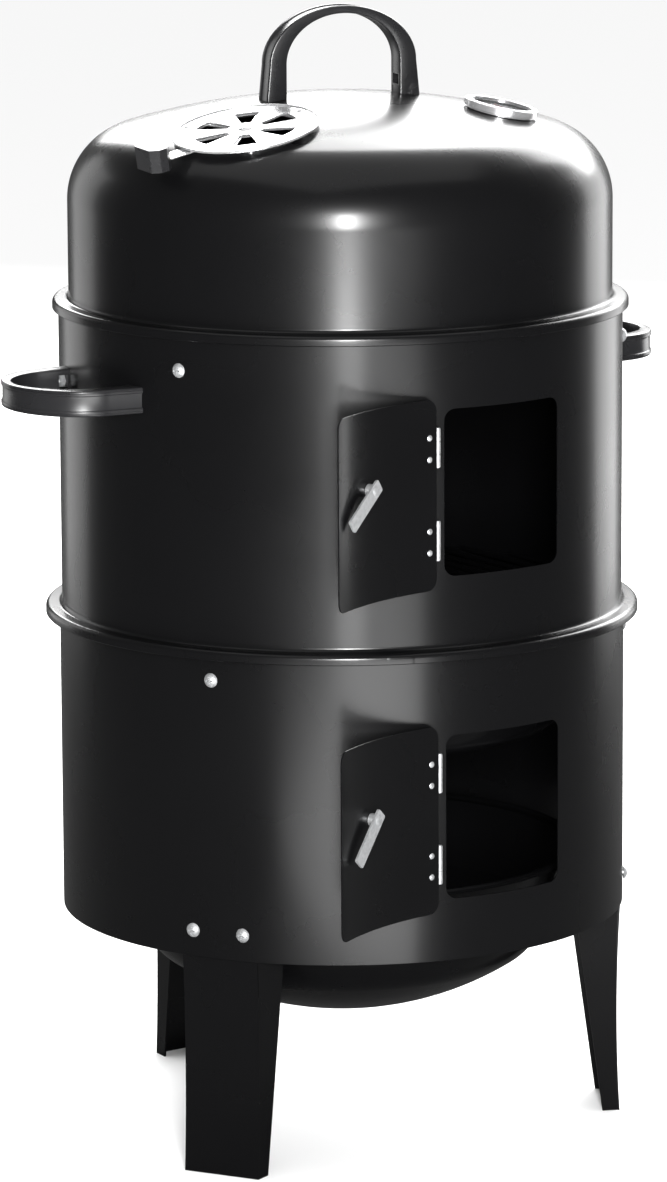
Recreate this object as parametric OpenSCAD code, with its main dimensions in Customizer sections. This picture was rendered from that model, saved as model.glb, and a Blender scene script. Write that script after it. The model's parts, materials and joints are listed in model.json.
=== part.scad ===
// Vertical water smoker: two stacked drums and a domed lid on three folded legs.
// +Z is up, the doors face -Y, and the origin is on the ground below the drum axis.
// A place round the body is given as its azimuth: 0 is the front, positive turns towards +X.

/* [Body] */
// Outer diameter of the lower drum
drum_d = 400; // [330:1:500]
// Height of each drum, from its seat to its top edge
section_h = 217; // [180:1:280]
// Height of the lower drum's bottom edge above the ground
ground_gap = 155; // [125:1:200]
// Thickness of the drum and lid sheet
sheet = 1; // [0.8:0.1:1.6]
// How much smaller the upper drum's radius is than the lower drum's
upper_step = 1.6; // [1:0.1:2.2]
// How much smaller the lid wall's radius is than the upper drum's
lid_step = 7.3; // [6:0.1:8]

/* [Seat rims] */
// How far a rim flares out from its wall
rim_out = 11.5; // [11:0.1:14]
// Height of a rim's vertical lip
lip_h = 3.8; // [3:0.1:6]
// Outside radius of the bend at the lip
lip_bend = 3.3; // [2.5:0.1:4]
// Outside radius of the bend at the wall
wall_bend = 3; // [2:0.1:3.5]
// Clearance between a rim's ledge and the edge that it rests on
seat_gap = 0.4; // [0.3:0.1:1]

/* [Lid] */
// Height of the lid's straight wall above its rim
lid_wall_h = 65.7; // [40:1:90]
// Radius of the lid's shoulder
shoulder_r = 53; // [35:1:60]
// Radius of the lid's crown
crown_r = 549; // [420:1:700]

/* [Doors] */
// Width of a door opening
door_w = 95; // [70:1:115]
// Height of a door opening
door_h = 115; // [90:1:140]
// Corner radius of a door opening
door_corner = 8; // [4:0.5:14]
// Height of the lower opening above the lower drum's bottom edge
lower_sill = 43.2; // [30:0.1:60]
// Height of the upper opening above the upper drum's seat
upper_sill = 51; // [40:0.1:60]
// How far a door covers the sheet above and below its opening
door_lap = 8; // [6:0.5:14]
// How far a door covers the sheet at its free edge
free_lap = 10; // [8:0.5:14]
// Gap between a door and the drum's outer face
door_gap = 0.35; // [0.3:0.05:0.8]
// Thickness of a door
door_sheet = 1; // [0.8:0.1:1.6]
// How far the doors stand open
door_open = 163; // [0:1:166]

/* [Hinges and latches] */
// Distance from the opening's edge to the hinge pin
hinge_off = 6; // [5:0.1:9]
// Height of a hinge
hinge_h = 26; // [20:0.5:36]
// Distance of each hinge from the door's middle
hinge_spread = 32; // [24:0.5:42]
// Outer radius of a hinge knuckle
knuckle_r = 2; // [1.8:0.05:2.2]
// Radius of a hinge pin
pin_r = 1; // [0.8:0.05:1.3]
// Distance of a latch's pivot from the opening's middle
latch_x = 16.5; // [12:0.5:18]
// Height of a latch's pivot above the door's middle
latch_rise = 12; // [0:0.5:25]
// Length of a latch bar beyond its pivot
latch_reach = 35; // [34:0.1:40]
// Width of a latch bar
latch_w = 10; // [8:0.5:12]
// Droop of the upper latch bar below level
upper_latch_droop = 36; // [0:1:90]
// Droop of the lower latch bar below level
lower_latch_droop = 48; // [0:1:90]

/* [Legs] */
// Azimuths of the three legs
leg_az = [-60, 58.5, 182];
// Width of a leg's outer face
leg_w = 57; // [44:1:70]
// Depth of a leg's side flanges at the top
leg_depth = 34; // [28:0.5:42]
// Depth of a leg's side flanges at the foot
foot_depth = 12.5; // [9:0.5:20]
// Thickness of the leg sheet
leg_sheet = 1.5; // [1.2:0.1:2.5]
// How far a leg reaches up inside the drum
leg_lap = 37; // [30:0.5:42]
// How far a leg's face bows inwards
leg_bow = 2.4; // [0:0.1:5]
// Angle by which the side flanges splay outwards
flange_splay = 8; // [0:1:14]
// Distance between a leg's two screws
leg_screw_pitch = 38; // [28:1:44]

/* [Handles] */
// Outer width of a handle
grip_w = 115; // [95:1:135]
// Breadth of a handle's strap
grip_b = 18; // [14:0.5:24]
// Thickness of the strap at the middle of the arch
grip_t = 5.4; // [4.5:0.1:8]
// Thickness of a handle's legs
grip_leg = 16; // [14:0.5:20]
// Height of the lid handle above the crown
lid_grip_h = 62; // [60:1:80]
// How far a side handle stands out from the drum
side_grip_reach = 63; // [48:1:70]
// Distance of the side handles below the upper drum's top edge
side_grip_drop = 50.5; // [40:0.5:80]
// Azimuths of the left and the right handle
side_grip_az = [-94, 91];
// Turn of the lid handle about the lid's axis
lid_grip_turn = -12; // [-30:1:30]

/* [Vent] */
// Azimuth of the vent
vent_az = -66; // [-70:0.5:-40]
// Distance from the lid's wall to the vent's middle
vent_in = 69; // [66:1:76]
// Outer radius of the vent's cover
vent_r = 51; // [44:0.5:52]
// Number of vent ports
ports = 6; // [4:1:8]
// Angle that each port spans
port_angle = 29; // [20:1:32]
// How far the damper is turned from fully open
damper_turn = 4; // [0:1:14]

/* [Thermometer] */
// Azimuth of the thermometer
gauge_az = 47; // [30:0.5:60]
// Distance from the lid's wall to the thermometer's middle
gauge_in = 78; // [66:1:84]
// Radius of the thermometer's bezel
gauge_r = 26; // [20:0.5:32]
// Length of the probe inside the lid
probe_l = 42; // [30:1:50]

/* [Pans and grates] */
// Depth of the water pan
water_depth = 82; // [60:1:95]
// Distance from the drum's wall to the water pan's rim
water_gap = 13; // [10:0.5:18]
// Depth of the charcoal pan below its rim
charcoal_depth = 113; // [95:1:118]
// Corner radius of the charcoal pan
charcoal_corner = 35; // [25:1:45]
// Radius of the charcoal pan's crowned bottom
charcoal_crown = 233; // [200:1:300]
// Thickness of the pans' sheet
pan_sheet = 1; // [0.8:0.1:1.6]
// Radius of a grate's ring wire
ring_wire = 2.5; // [2:0.1:3]
// Radius of a grate's cross wires
grate_wire = 1.75; // [1.5:0.05:2.2]
// Distance between a grate's cross wires
grate_pitch = 15; // [12:0.5:22]

/* [Brackets and screws] */
// Azimuth of the first lower bracket
lower_bracket_az = -61; // [-75:0.5:-50]
// Azimuth of the first upper bracket
upper_bracket_az = -68; // [-75:0.5:-50]
// Width of a bracket
bracket_w = 18; // [14:0.5:24]
// Thickness of a bracket
bracket_t = 1.5; // [1.2:0.1:2.5]
// Radius of the screws' shanks
screw_r = 2.5; // [2:0.1:3]
// Radius of the screws' heads
head_r = 5; // [4.5:0.1:6]

/* [Hidden] */
$fn = 96;
fit = 0.05;            // radial clearance of a pin or shank in its hole
wall_gap = 0.1;        // clearance between pieces fixed to each other

lower_r = drum_d / 2;
upper_r = lower_r - upper_step;
lid_r = upper_r - lid_step;
lower_top = ground_gap + section_h;
ledge_drop = lip_h + lip_bend - sheet;      // from a rim's lowest edge up to its ledge's underside
upper_lip = lower_top + seat_gap - ledge_drop;
upper_top = lower_top + section_h;
lid_lip = upper_top + seat_gap - ledge_drop;
rim_h = lip_h + lip_bend + wall_bend;       // from a rim's lowest edge up to the plain wall

// Lid profile: the crown meets the shoulder where both have the same normal
shoulder_z = lid_lip + rim_h + lid_wall_h;
shoulder_in = lid_r - shoulder_r;
crown_z = shoulder_z - sqrt(pow(crown_r - shoulder_r, 2) - pow(shoulder_in, 2));
crown_edge = asin(shoulder_in / (crown_r - shoulder_r));
lid_top = crown_z + crown_r;

// Doors, in the closed position
lower_door_z = ground_gap + lower_sill + door_h / 2;
upper_door_z = lower_top + upper_sill + door_h / 2;
hinge_x = -(door_w / 2 + hinge_off);
pin_out = door_gap + knuckle_r;             // hinge pin's distance from the drum's outer face
door_x0 = hinge_x + knuckle_r + 0.8;
door_x1 = door_w / 2 + free_lap;
leaf_t = 0.8;
leaf_gap = 0.05;
knuckle_gap = 0.3;
knuckle_notch = knuckle_r + 0.4;
hinge_rivet_r = 1.6;
hinge_head_r = 2.1;
hinge_head_h = 0.8;
hinge_rivet_z = [-7.4, 7.4];                // rivets' heights from a hinge's middle
rivet_off = hinge_off + hinge_head_r + 0.5; // rivets' distance from the pin: their tails clear the opening's edge
leaf_w = rivet_off + hinge_head_r + 0.9;
latch_t = 1.5;
latch_tail = 6.5;
latch_turn = asin((latch_x + latch_reach) / lower_r) - asin(latch_x / lower_r);
latch_depth = sheet + 0.4 + lower_r * (1 - cos(latch_turn)); // bar's outer face below the drum's outer face
latch_shaft_r = 2.5;
latch_spacer_r = 4.5;
latch_knob_r = 12;
latch_knob_h = 15;

// Legs
leg_face_r = sqrt(pow(lower_r - sheet, 2) - pow(leg_w / 2, 2)) - 0.15;
leg_top = ground_gap + leg_lap;
leg_bow_r = (pow(ground_gap / 2, 2) + pow(leg_bow, 2)) / (2 * leg_bow);
leg_screw_z = ground_gap + leg_lap / 2;

// Handles
grip_r = grip_w / 2;
grip_hole_r = grip_r - grip_leg;
nut_r = 4.6;
nut_h = 4;
notch_h = nut_h + 3;                        // pocket for a handle's nut
notch_w = 2 * nut_r + 1;
grip_pad = 5;
grip_screw_x = grip_r - grip_leg / 2;
side_grip_z = upper_top - side_grip_drop;

// Vent, measured along the crown's normal at its middle
vent_dist = lid_r - vent_in;
vent_hole_r = 37.5;
port_r0 = 13;
port_r1 = 36.5;
damper_r = 41;
damper_t = 0.8;
damper_z = 0.3 - pow(vent_hole_r, 2) / (2 * crown_r);
cover_t = 1;
cover_z = damper_z + damper_t + 0.5;
cover_step = 43;
skirt_t = 1;
skirt_z = wall_gap - pow(cover_step - skirt_t, 2) / (2 * crown_r);
vent_bead_r = 0.9;
tab_az = 246;
tab_w = 13;
tab_sweep = 23;
knob_dist = 76;
knob_drop = 4.3;                            // knob's foot below the damper's underside
vent_rivet_head_r = 2;
vent_rivet_rho = cover_step + vent_rivet_head_r + 0.1;

// Thermometer, measured along the crown's normal at its middle
gauge_dist = lid_r - gauge_in;
gauge_h = 7;
gauge_wall = 1;
probe_r = 3;
thread_r = 4;
needle_rest = 220;                          // just above the low end of the scale
needle_z = 2.4;
needle_t = 0.4;

// Pans, grates and brackets
lower_shelf = lower_top - 5;
upper_shelf = upper_top - 12;
lower_bracket_screw = lower_top - 21.5;
upper_bracket_screw = upper_top - 27;
shelf_l = 20;
water_rim_r = lower_r - sheet - water_gap;
water_wall_r = water_rim_r - 15;
water_rim_z = lower_shelf + 0.3;
bead_r = 2;
charcoal_wall_r = leg_face_r - leg_depth - 4;
charcoal_rim_r = charcoal_wall_r + 9;
charcoal_rim_z = leg_top + 0.3;
ring_r = upper_r - sheet - water_gap + 2;
lower_grate_z = water_rim_z + 2 * bead_r + 0.3 + ring_wire;
upper_grate_z = upper_shelf + 0.3 + ring_wire;

enamel = [0.03, 0.03, 0.035];
steel = [0.72, 0.73, 0.75];
bakelite = [0.05, 0.05, 0.05];

// ---------- helpers ----------

// Places children at azimuth az, at radius r and height z; they are drawn with -Y pointing outwards
module at_wall(az, r, z) {
    rotate([0, 0, az]) translate([0, -r, z]) children();
}

// Points a shape drawn along +Z outwards from the wall
module outwards() {
    rotate([90, 0, 0]) children();
}

// Places children on the lid's crown, with +Z along the crown's normal
module on_crown(az, dist) {
    rotate([0, 0, az]) translate([0, -dist, crown_z + sqrt(pow(crown_r, 2) - pow(dist, 2))])
        rotate([asin(dist / crown_r), 0, 0]) children();
}

module tube(r0, r1, z0, z1) {
    difference() {
        translate([0, 0, z0]) cylinder(r = r1, h = z1 - z0, $fn = 180);
        translate([0, 0, z0 - 1]) cylinder(r = r0, h = z1 - z0 + 2, $fn = 180);
    }
}

module rounded_rect(x0, x1, y0, y1, r) {
    translate([x0 + r, y0]) square([x1 - x0 - 2 * r, y1 - y0]);
    translate([x0, y0 + r]) square([x1 - x0, y1 - y0 - 2 * r]);
    for (x = [x0 + r, x1 - r], y = [y0 + r, y1 - r]) translate([x, y]) circle(r = r);
}

// One quarter of a bent sheet's section; sx and sy choose the quadrant
module bend(x, y, r0, r1, sx, sy) {
    translate([x, y]) intersection() {
        difference() {
            circle(r = r1);
            circle(r = r0);
        }
        translate([sx > 0 ? 0 : -r1, sy > 0 ? 0 : -r1]) square(r1);
    }
}

// Section of a flared rim under a wall of outer radius r, with its lowest edge at z
module rim_section(r, z) {
    ledge = z + lip_h + lip_bend;
    translate([r + rim_out - sheet, z]) square([sheet, lip_h]);
    bend(r + rim_out - lip_bend, z + lip_h, lip_bend - sheet, lip_bend, 1, 1);
    translate([r + wall_bend, ledge - sheet]) square([rim_out - wall_bend - lip_bend, sheet]);
    bend(r + wall_bend, ledge + wall_bend, wall_bend, wall_bend + sheet, -1, -1);
}

// Screw or rivet head: a spherical cap of radius r and height h on the plane z = 0
module cap_head(r, h) {
    ball = (r * r + h * h) / (2 * h);
    intersection() {
        translate([0, 0, h - ball]) sphere(r = ball, $fn = 48);
        cylinder(r = r + 1, h = h + 1, $fn = 48);
    }
}

// Screw along +Z: its head's seat is at z = 0 and its shank reaches down by l
module screw(l) {
    difference() {
        cap_head(head_r, 3);
        for (a = [0, 90]) rotate([0, 0, a]) translate([-2.6, -0.5, 1.6]) cube([5.2, 1, 3]);
    }
    translate([0, 0, -l]) cylinder(r = screw_r, h = l + 0.5, $fn = 32);
}

module hex_nut(r, h, bore) {
    difference() {
        cylinder(r = r, h = h, $fn = 6);
        translate([0, 0, -1]) cylinder(r = bore, h = h + 2, $fn = 32);
    }
}

// Rivet along +Z between the planes z = 0 and z = t, with a head at each end
module rivet(r, t, head, head_h) {
    translate([0, 0, -0.2]) cylinder(r = r, h = t + 0.4, $fn = 32);
    translate([0, 0, t]) cap_head(head, head_h);
    mirror([0, 0, 1]) cap_head(head, head_h);
}

// ---------- drums ----------

module door_cut(r, z) {
    translate([0, -r + 40, z]) outwards() linear_extrude(height = 60)
        rounded_rect(-door_w / 2, door_w / 2, -door_h / 2, door_h / 2, door_corner);
}

function az_of(x, r) = asin(x / r);

module wall_hole(az, r, z, hole) {
    at_wall(az, r - 10, z) outwards() cylinder(r = hole, h = 20, $fn = 32);
}

module frame_rivet_holes(r, z) {
    for (s = [-1, 1], dz = hinge_rivet_z)
        wall_hole(az_of(hinge_x - rivet_off, r), r, z + s * hinge_spread - dz, hinge_rivet_r + fit);
}

module lower_drum() {
    color(enamel) difference() {
        tube(lower_r - sheet, lower_r, ground_gap, lower_top);
        door_cut(lower_r, lower_door_z);
        frame_rivet_holes(lower_r, lower_door_z);
        for (az = leg_az, s = [-1, 1]) rotate([0, 0, az])
            translate([s * leg_screw_pitch / 2, -lower_r + 10, leg_screw_z]) outwards()
                cylinder(r = screw_r + fit, h = 20, $fn = 32);
        for (k = [0 : 2]) wall_hole(lower_bracket_az + 120 * k, lower_r, lower_bracket_screw, screw_r + fit);
    }
}

module upper_drum() {
    color(enamel) difference() {
        rotate_extrude($fn = 180) {
            rim_section(upper_r, upper_lip);
            translate([upper_r - sheet, upper_lip + rim_h]) square([sheet, upper_top - upper_lip - rim_h]);
        }
        door_cut(upper_r, upper_door_z);
        frame_rivet_holes(upper_r, upper_door_z);
        for (k = [0 : 2]) wall_hole(upper_bracket_az + 120 * k, upper_r, upper_bracket_screw, screw_r + fit);
        for (az = side_grip_az, s = [-1, 1]) rotate([0, 0, az])
            translate([s * grip_screw_x, -upper_r + 40, side_grip_z]) outwards()
                cylinder(r = screw_r + fit, h = 60, $fn = 32);
    }
}

// ---------- lid ----------

// Half section of the solid inside the lid's outer face, drawn inwards by inset
module lid_section(inset) {
    edge = sin(crown_edge) * (crown_r - inset);
    translate([0, lid_lip + rim_h]) square([lid_r - inset, shoulder_z - lid_lip - rim_h]);
    translate([shoulder_in, shoulder_z]) circle(r = shoulder_r - inset, $fn = 180);
    intersection() {
        translate([0, crown_z]) circle(r = crown_r - inset, $fn = 360);
        translate([0, shoulder_z]) square([edge, crown_r]);
    }
}

module lid_shell() {
    color(enamel) difference() {
        rotate_extrude($fn = 180) {
            rim_section(lid_r, lid_lip);
            intersection() {
                difference() {
                    lid_section(0);
                    lid_section(sheet);
                }
                translate([0, lid_lip + rim_h]) square([lid_r + 1, lid_top]);
            }
        }
        translate([0, 0, lid_lip + rim_h - 1]) cylinder(r = lid_r - sheet, h = 2, $fn = 180);
        on_crown(vent_az, vent_dist) {
            translate([0, 0, -12]) cylinder(r = vent_hole_r, h = 20);
            vent_rivet_places() translate([0, 0, -12]) cylinder(r = hinge_rivet_r + fit, h = 20, $fn = 32);
        }
        on_crown(gauge_az, gauge_dist) translate([0, 0, -12]) cylinder(r = thread_r + fit, h = 20, $fn = 32);
        for (s = [-1, 1]) rotate([0, 0, lid_grip_turn]) translate([s * grip_screw_x, 0, lid_top - 12])
            cylinder(r = screw_r + fit, h = 20, $fn = 32);
    }
}

// ---------- legs ----------

// Side outline of a leg as radius and height; inset moves its outer edge inwards
splay_inset = 0.4;                          // a flange's bend starts this far inside the face's edge

module leg_outline(inset) {
    edge = leg_face_r - inset;
    difference() {
        polygon([
            [leg_face_r - leg_depth, leg_top], [leg_face_r + 10, leg_top], [leg_face_r + 10, 0],
            [leg_face_r - foot_depth, 0], [leg_face_r - leg_depth, ground_gap]
        ]);
        translate([edge, ground_gap]) square([20, leg_lap + 1]);
        translate([edge - leg_bow + leg_bow_r, ground_gap / 2]) circle(r = leg_bow_r, $fn = 720);
    }
}

module leg_extrude(w) {
    rotate([90, 0, -90]) translate([0, 0, -w / 2]) linear_extrude(height = w) children();
}

module leg(az) {
    color(enamel) rotate([0, 0, az]) difference() {
        union() {
            leg_extrude(leg_w) difference() {
                leg_outline(0);
                leg_outline(leg_sheet);
            }
            for (s = [-1, 1]) translate([s * ((leg_w - leg_sheet) / 2 - splay_inset), -leg_face_r, 0])
                rotate([0, 0, -s * flange_splay]) translate([0, leg_face_r, 0])
                    leg_extrude(leg_sheet) leg_outline(leg_sheet / 2);
        }
        for (s = [-1, 1]) translate([s * leg_screw_pitch / 2, -leg_face_r + 10, leg_screw_z]) outwards()
            cylinder(r = screw_r + fit, h = 20, $fn = 32);
    }
}

module leg_front_left() { leg(leg_az[0]); }
module leg_right() { leg(leg_az[1]); }
module leg_back() { leg(leg_az[2]); }

leg_head_y = -sqrt(pow(lower_r, 2) - pow(leg_screw_pitch / 2 - head_r, 2)) - wall_gap;
leg_nut_y = -leg_face_r + leg_sheet + wall_gap;

module leg_screws() {
    color(steel) for (az = leg_az, s = [-1, 1]) rotate([0, 0, az])
        translate([s * leg_screw_pitch / 2, leg_head_y, leg_screw_z]) outwards()
            screw(leg_nut_y - leg_head_y + nut_h + 2);
}

module leg_nuts() {
    color(steel) for (az = leg_az, s = [-1, 1]) rotate([0, 0, az])
        translate([s * leg_screw_pitch / 2, leg_nut_y + nut_h, leg_screw_z]) outwards()
            hex_nut(nut_r, nut_h, screw_r + fit);
}

// ---------- brackets ----------

module brackets(az, r, screw_z, shelf) {
    back = r - sheet - 0.7;
    for (k = [0 : 2]) rotate([0, 0, az + 120 * k]) difference() {
        union() {
            translate([-bracket_w / 2, -back, screw_z - 11])
                cube([bracket_w, bracket_t, shelf - screw_z + 11]);
            translate([-bracket_w / 2, -back, shelf - bracket_t]) cube([bracket_w, shelf_l, bracket_t]);
        }
        translate([0, -back + 10, screw_z]) outwards() cylinder(r = screw_r + fit, h = 20, $fn = 32);
    }
}

module bracket_screws(az, r, z) {
    for (k = [0 : 2]) at_wall(az + 120 * k, r + wall_gap, z) outwards() screw(10);
}

module bracket_nuts(az, r, z) {
    back = r - sheet - 0.7 - bracket_t - wall_gap;
    for (k = [0 : 2]) at_wall(az + 120 * k, back - nut_h, z) outwards() hex_nut(nut_r, nut_h, screw_r + fit);
}

module lower_brackets() { color(steel) brackets(lower_bracket_az, lower_r, lower_bracket_screw, lower_shelf); }
module lower_bracket_screws() { color(steel) bracket_screws(lower_bracket_az, lower_r, lower_bracket_screw); }
module lower_bracket_nuts() { color(steel) bracket_nuts(lower_bracket_az, lower_r, lower_bracket_screw); }
module upper_brackets() { color(steel) brackets(upper_bracket_az, upper_r, upper_bracket_screw, upper_shelf); }
module upper_bracket_screws() { color(steel) bracket_screws(upper_bracket_az, upper_r, upper_bracket_screw); }
module upper_bracket_nuts() { color(steel) bracket_nuts(upper_bracket_az, upper_r, upper_bracket_screw); }

// ---------- pans ----------

// Rolled rim and flat flange from radius r0 to r1, standing on the plane z
module pan_rim(r0, r1, z) {
    translate([r0, z]) square([r1 - r0, pan_sheet]);
    translate([r1 - bead_r, z + bead_r]) circle(r = bead_r, $fn = 32);
}

// Section of the charcoal pan's outside, drawn inwards by inset
module charcoal_section(inset) {
    crown = charcoal_crown - inset;
    corner = charcoal_corner - inset;
    bottom = charcoal_rim_z - charcoal_depth;
    body_r = charcoal_wall_r - 14;
    edge = asin((body_r - charcoal_corner) / (charcoal_crown - charcoal_corner));
    corner_z = bottom + charcoal_crown - (charcoal_crown - charcoal_corner) * cos(edge);
    intersection() {
        translate([0, bottom + charcoal_crown]) circle(r = crown, $fn = 360);
        square([sin(edge) * crown, corner_z]);
    }
    translate([body_r - charcoal_corner, corner_z]) circle(r = corner, $fn = 96);
    polygon([
        [0, corner_z], [body_r - inset, corner_z], [charcoal_wall_r - inset, charcoal_rim_z + pan_sheet],
        [0, charcoal_rim_z + pan_sheet]
    ]);
}

module charcoal_pan() {
    color(enamel) rotate_extrude($fn = 180) {
        intersection() {
            difference() {
                charcoal_section(0);
                charcoal_section(pan_sheet);
            }
            square([drum_d, charcoal_rim_z + pan_sheet]);
        }
        pan_rim(charcoal_wall_r - pan_sheet, charcoal_rim_r, charcoal_rim_z);
    }
}

module water_section(inset) {
    corner = 20;
    body_r = water_wall_r - 10;
    bottom = water_rim_z - water_depth;
    translate([0, bottom + inset]) square([body_r - corner, corner]);
    translate([body_r - corner, bottom + corner]) circle(r = corner - inset, $fn = 96);
    polygon([
        [0, bottom + corner], [body_r - inset, bottom + corner],
        [water_wall_r - inset, water_rim_z + pan_sheet], [0, water_rim_z + pan_sheet]
    ]);
}

module water_pan() {
    color(enamel) rotate_extrude($fn = 180) {
        difference() {
            water_section(0);
            water_section(pan_sheet);
        }
        pan_rim(water_wall_r - pan_sheet, water_rim_r, water_rim_z);
    }
}

// ---------- grates ----------

module grate(z) {
    wire_z = z + ring_wire + grate_wire - 0.5;
    span = ring_r - 1;
    color(enamel) {
        translate([0, 0, z]) rotate_extrude($fn = 120) translate([ring_r, 0]) circle(r = ring_wire, $fn = 24);
        for (i = [-floor(span / grate_pitch) : floor(span / grate_pitch)]) {
            half = sqrt(pow(span, 2) - pow(i * grate_pitch, 2));
            translate([i * grate_pitch, half, wire_z]) rotate([90, 0, 0])
                cylinder(r = grate_wire, h = 2 * half, $fn = 24);
        }
        for (y = [-ring_r / 2, ring_r / 2]) {
            half = sqrt(pow(ring_r, 2) - pow(y, 2));
            translate([-half, y, z]) rotate([0, 90, 0]) cylinder(r = ring_wire, h = 2 * half, $fn = 24);
        }
    }
}

module lower_grate() { grate(lower_grate_z); }
module upper_grate() { grate(upper_grate_z); }

// ---------- doors ----------

function hinge_y(r) = -sqrt(pow(r + pin_out, 2) - pow(hinge_x, 2));

// Swings a closed door's pieces open about the hinge pin
module swing(r) {
    translate([hinge_x, hinge_y(r), 0]) rotate([0, 0, -door_open]) translate([-hinge_x, -hinge_y(r), 0])
        children();
}

function door_r(r) = r + door_gap;
function latch_az(r) = az_of(latch_x, r);

module door_panel(r, z) {
    color(enamel) swing(r) difference() {
        intersection() {
            tube(door_r(r), door_r(r) + door_sheet, z - door_h, z + door_h);
            translate([0, -r + 60, z]) outwards() linear_extrude(height = 80)
                rounded_rect(door_x0, door_x1, -door_h / 2 - door_lap, door_h / 2 + door_lap, door_corner);
        }
        for (s = [-1, 1], dz = hinge_rivet_z)
            wall_hole(az_of(hinge_x + rivet_off, r), r, z + s * hinge_spread - dz, hinge_rivet_r + fit);
        wall_hole(latch_az(r), r, z + latch_rise, latch_shaft_r + fit);
    }
}

// Knuckles of one leaf: the frame leaf has the outer two, the door leaf the middle one
module knuckles(r, z, outer) {
    third = hinge_h / 3;
    spans = outer ? [[0, third - knuckle_gap], [2 * third + knuckle_gap, hinge_h]] : [[third, 2 * third]];
    for (span = spans) translate([hinge_x, hinge_y(r), z - hinge_h / 2 + span[0]])
        cylinder(r = knuckle_r, h = span[1] - span[0], $fn = 32);
}

module hinge_leaf(r, z, outer) {
    r0 = outer ? r + leaf_gap : door_r(r) + door_sheet + leaf_gap;
    x0 = outer ? hinge_x - leaf_w : hinge_x;
    rivet_x = hinge_x + (outer ? -rivet_off : rivet_off);
    difference() {
        union() {
            difference() {
                intersection() {
                    tube(r0, r0 + leaf_t, z - hinge_h / 2, z + hinge_h / 2);
                    translate([x0, -r - 20, z - hinge_h]) cube([leaf_w, r, 2 * hinge_h]);
                }
                translate([hinge_x - knuckle_notch, -r - 20, z]) knuckle_space(r, outer);
            }
            knuckles(r, z, outer);
        }
        translate([hinge_x, hinge_y(r), z - hinge_h]) cylinder(r = pin_r + fit, h = 2 * hinge_h, $fn = 32);
        for (dz = hinge_rivet_z) wall_hole(az_of(rivet_x, r), r, z - dz, hinge_rivet_r + fit);
    }
}

// Room cut in a leaf for the other leaf's knuckles
module knuckle_space(r, outer) {
    third = hinge_h / 3;
    if (outer) translate([0, 0, -third / 2 - knuckle_gap]) cube([2 * knuckle_notch, r, third + 2 * knuckle_gap]);
    else for (s = [-1, 1]) translate([0, 0, s * third - third / 2 - (s < 0 ? 5 : 0)])
        cube([2 * knuckle_notch, r, third + 5]);
}

module hinge_leaves(r, z, outer) {
    color(steel) for (s = [-1, 1]) hinge_leaf(r, z + s * hinge_spread, outer);
}

module hinge_pins(r, z) {
    color(steel) for (s = [-1, 1])
        translate([hinge_x, hinge_y(r), z + s * hinge_spread - hinge_h / 2 - 0.6]) {
            cylinder(r = pin_r, h = hinge_h + 1.2, $fn = 32);
            cylinder(r = knuckle_r - 0.3, h = 0.5, $fn = 32);
            translate([0, 0, hinge_h + 0.7]) cylinder(r = knuckle_r - 0.3, h = 0.5, $fn = 32);
        }
}

module hinge_rivets(r, z, outer) {
    r0 = outer ? r - sheet - wall_gap : door_r(r) - wall_gap;
    r1 = outer ? r + leaf_gap + leaf_t : door_r(r) + door_sheet + leaf_gap + leaf_t;
    az = az_of(hinge_x + (outer ? -rivet_off : rivet_off), r);
    color(steel) for (s = [-1, 1], dz = hinge_rivet_z) at_wall(az, r0, z + s * hinge_spread - dz) outwards()
        rivet(hinge_rivet_r, r1 + wall_gap - r0, hinge_head_r, hinge_head_h);
}

// Places a latch piece at its pivot; +Z points outwards and +X towards the door's free edge
module at_latch(r, z) {
    swing(r) at_wall(latch_az(r), r - latch_depth - latch_t, z + latch_rise) outwards() children();
}

module latch_bar(r, z, droop) {
    color(steel) at_latch(r, z) rotate([0, 0, -droop]) linear_extrude(height = latch_t) difference() {
        rounded_rect(-latch_tail, latch_reach, -latch_w / 2, latch_w / 2, 1.5);
        circle(r = latch_shaft_r + fit, $fn = 32);
    }
}

module latch_spindle(r, z) {
    head = 1.2;
    spacer = latch_depth + door_gap - 0.35;
    length = latch_t + latch_depth + door_gap + door_sheet + 8;
    color(steel) at_latch(r, z) {
        translate([0, 0, -0.3]) cylinder(r = latch_shaft_r, h = length, $fn = 32);
        translate([0, 0, latch_t + fit]) cylinder(r = latch_spacer_r, h = spacer - fit, $fn = 32);
        translate([0, 0, -fit]) mirror([0, 0, 1]) cap_head(latch_shaft_r + 1, head);
    }
}

module latch_knob(r, z) {
    base = latch_t + latch_depth + door_gap + door_sheet + 0.4;
    color(bakelite) at_latch(r, z) translate([0, 0, base]) difference() {
        rotate_extrude() {
            square([7, 5]);
            translate([0, 4]) rounded_half(latch_knob_r, latch_knob_h - 4, 3);
        }
        translate([0, 0, -1]) cylinder(r = latch_shaft_r + fit, h = 9, $fn = 32);
    }
}

// Half section of a round knob of radius r and height h with rounded edges
module rounded_half(r, h, e) {
    square([r - e, h]);
    translate([0, e]) square([r, h - 2 * e]);
    for (y = [e, h - e]) translate([r - e, y]) circle(r = e, $fn = 48);
}

module lower_door() { door_panel(lower_r, lower_door_z); }
module lower_hinge_frame_leaves() { hinge_leaves(lower_r, lower_door_z, true); }
module lower_hinge_door_leaves() { swing(lower_r) hinge_leaves(lower_r, lower_door_z, false); }
module lower_hinge_pins() { hinge_pins(lower_r, lower_door_z); }
module lower_frame_rivets() { hinge_rivets(lower_r, lower_door_z, true); }
module lower_door_rivets() { swing(lower_r) hinge_rivets(lower_r, lower_door_z, false); }
module lower_latch_bar() { latch_bar(lower_r, lower_door_z, lower_latch_droop); }
module lower_latch_spindle() { latch_spindle(lower_r, lower_door_z); }
module lower_latch_knob() { latch_knob(lower_r, lower_door_z); }

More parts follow.
